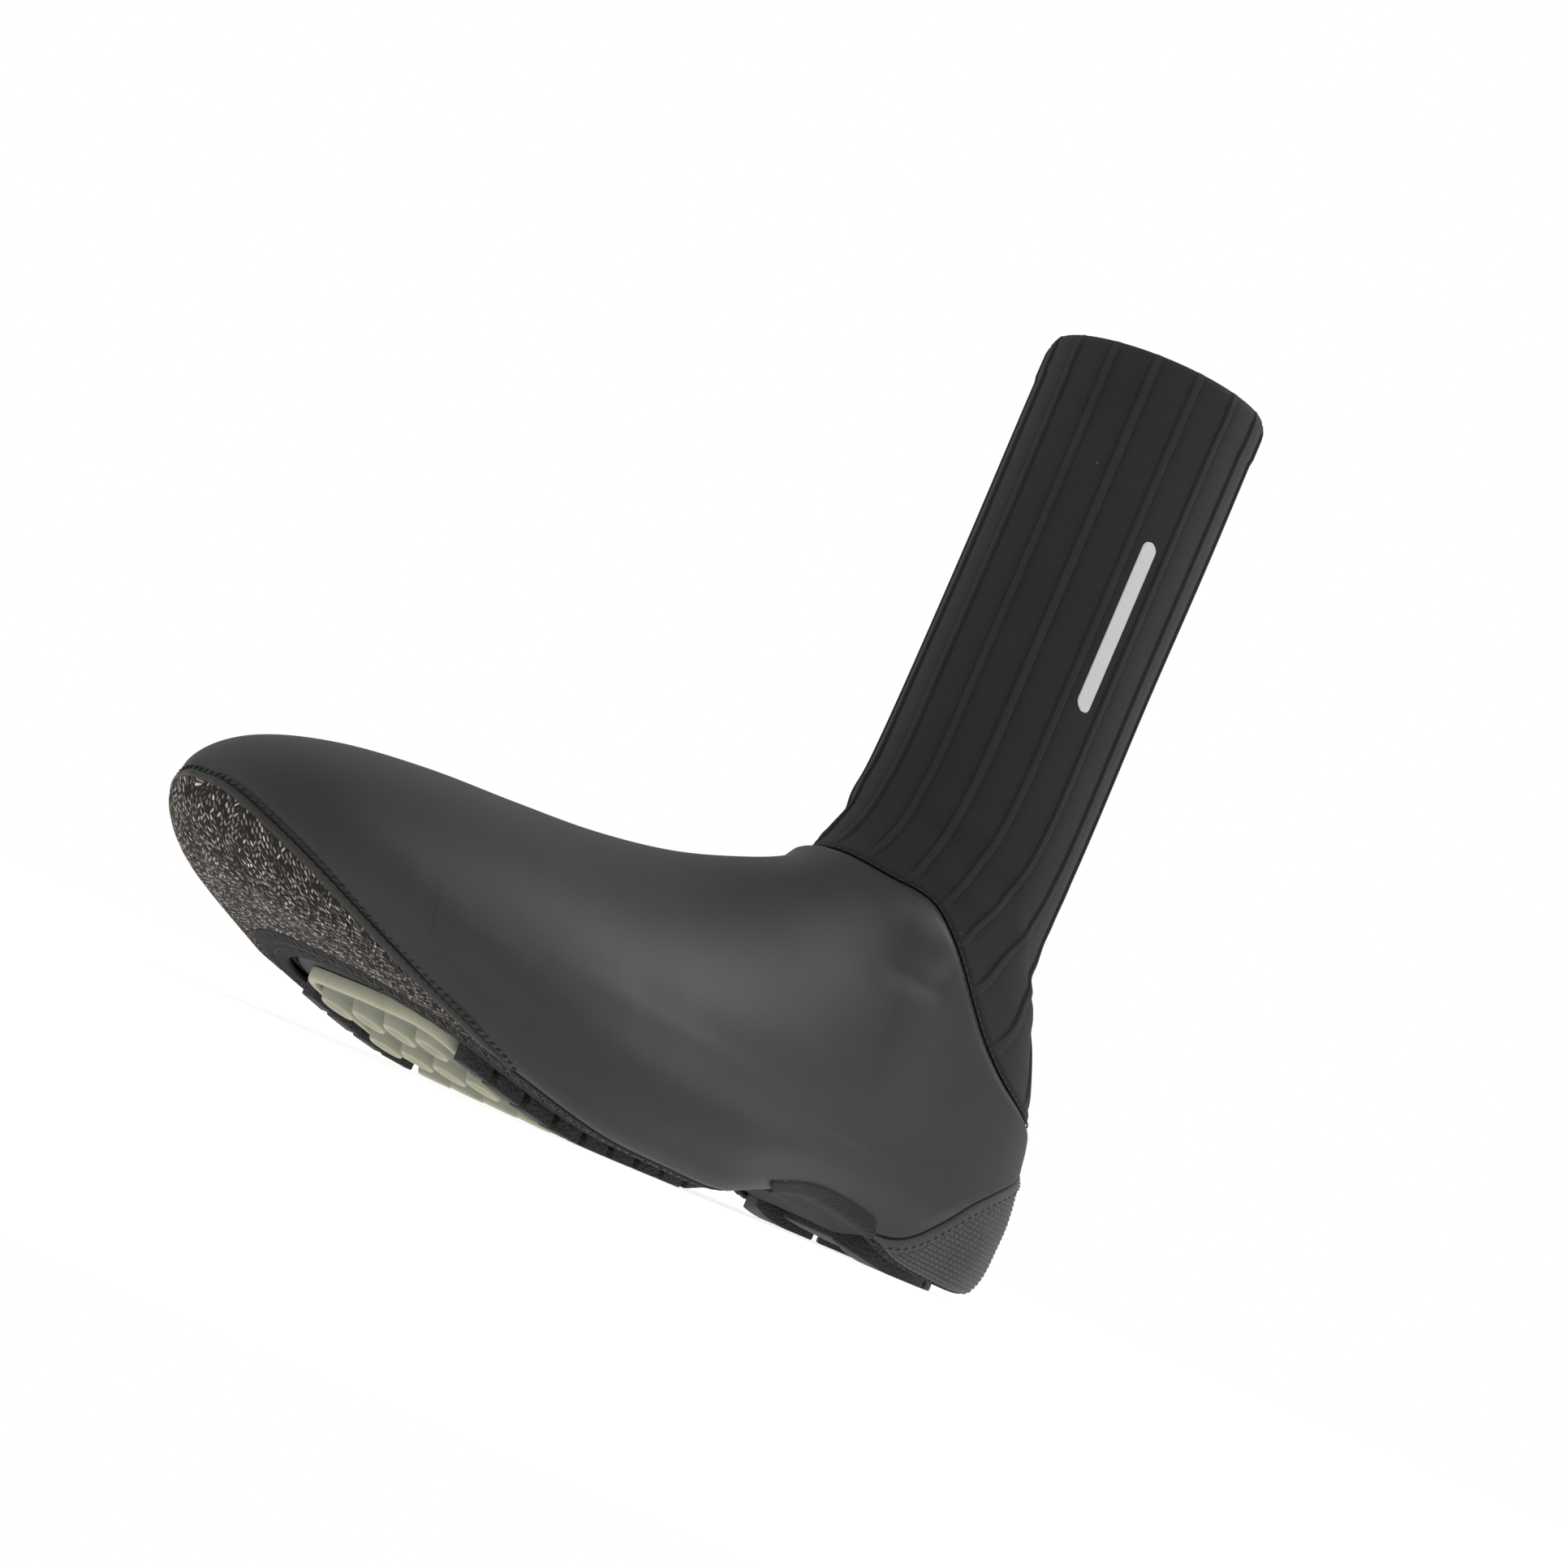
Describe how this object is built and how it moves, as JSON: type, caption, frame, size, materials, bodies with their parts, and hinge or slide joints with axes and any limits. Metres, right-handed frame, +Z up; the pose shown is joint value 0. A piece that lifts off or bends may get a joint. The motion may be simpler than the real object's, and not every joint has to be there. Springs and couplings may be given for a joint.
{
  "type": "cycling overshoe",
  "caption": "Left cycling overshoe with a tall ribbed shaft, smooth upper, woven toe panel, gripped heel panel, arch strap and a lugged sole with a studded pad.",
  "frame": {"origin": "middle of the overall box, on the floor", "axes": "+Z up, the toe towards -X, the outer side of the foot towards -Y"},
  "size_m": [0.2984, 0.1125, 0.262],
  "materials": {
    "neoprene": "smooth matte grey neoprene skin",
    "knit": "charcoal knit with raised sewn ribs",
    "toe_weave": "coarse dark weave with pale flecks",
    "heel_grip": "dark cloth with small raised rubber bars",
    "binding_tape": "black elastic tape, zigzag sewn",
    "sole_rubber": "matte moulded black rubber",
    "pad_rubber": "matte grey-green moulded rubber",
    "webbing": "ribbed black webbing",
    "loop_fleece": "brushed dark grey loop cloth",
    "insole_foam": "plain dark foam"
  },
  "bodies": {
    "root": {"upper": "neoprene", "shaft": "knit", "toe_panel": "toe_weave", "heel_panel": "heel_grip", "edge_binding": "binding_tape", "outsole": "sole_rubber", "grip_pad": "pad_rubber", "strap_webbing": "webbing", "strap_flap": "loop_fleece", "insole": "insole_foam"}
  },
  "joints": []
}
